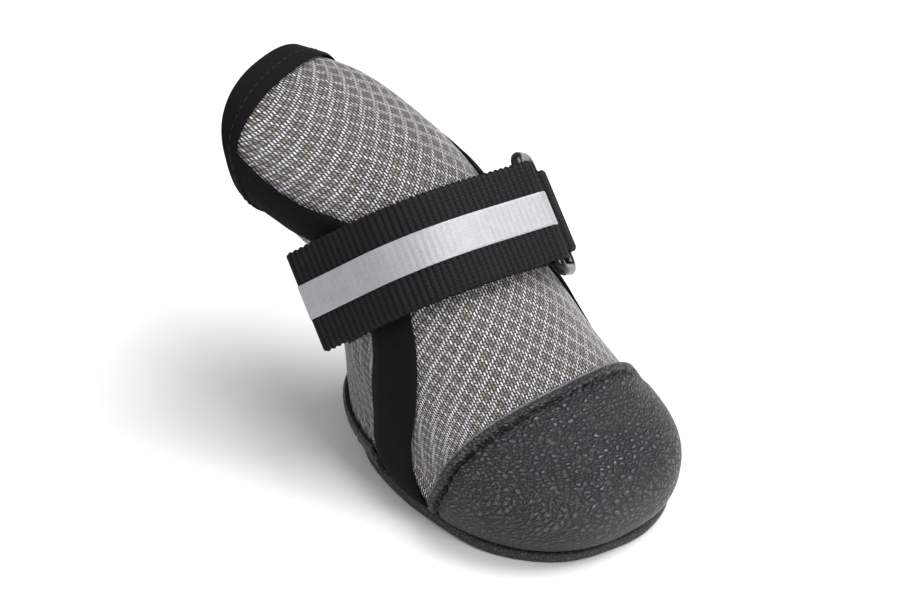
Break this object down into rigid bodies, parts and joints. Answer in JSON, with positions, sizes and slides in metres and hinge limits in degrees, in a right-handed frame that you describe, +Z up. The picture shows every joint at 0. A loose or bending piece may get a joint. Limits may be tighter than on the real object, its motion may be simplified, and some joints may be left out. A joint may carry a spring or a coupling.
{
  "type": "dog boot",
  "caption": "Soft dog boot with a mesh sock, leather toe cap and sole, edge binding, and a webbing strap with a reflective stripe that pulls through a ring.",
  "frame": {"origin": "on the floor, at the middle of the sole's length and width", "axes": "+X to the toe, +Y to the boot's left side, +Z up"},
  "size_m": [0.1248, 0.0695, 0.0866],
  "materials": {
    "sole_leather": "smooth black sole leather with a turned edge",
    "pebbled_leather": "black leather with a pebbled grain",
    "spacer_mesh": "grey knitted spacer mesh with a diamond relief",
    "knit_binding": "matt black knit over thin foam",
    "ribbed_webbing": "black ribbed nylon webbing",
    "reflective_tape": "silver grey reflective tape",
    "ring_plastic": "moulded glossy black",
    "felt": "dark felt"
  },
  "bodies": {
    "root": {"outsole": "sole_leather", "insole": "felt", "upper": "spacer_mesh", "toe_cap": "pebbled_leather", "heel_counter": "pebbled_leather", "side_binding_right": "knit_binding", "side_binding_left": "knit_binding", "collar_binding": "knit_binding", "back_strip": "ribbed_webbing", "strap": "ribbed_webbing", "reflective_stripe": "reflective_tape", "ring": "ring_plastic", "keeper": "ribbed_webbing"}
  },
  "joints": []
}
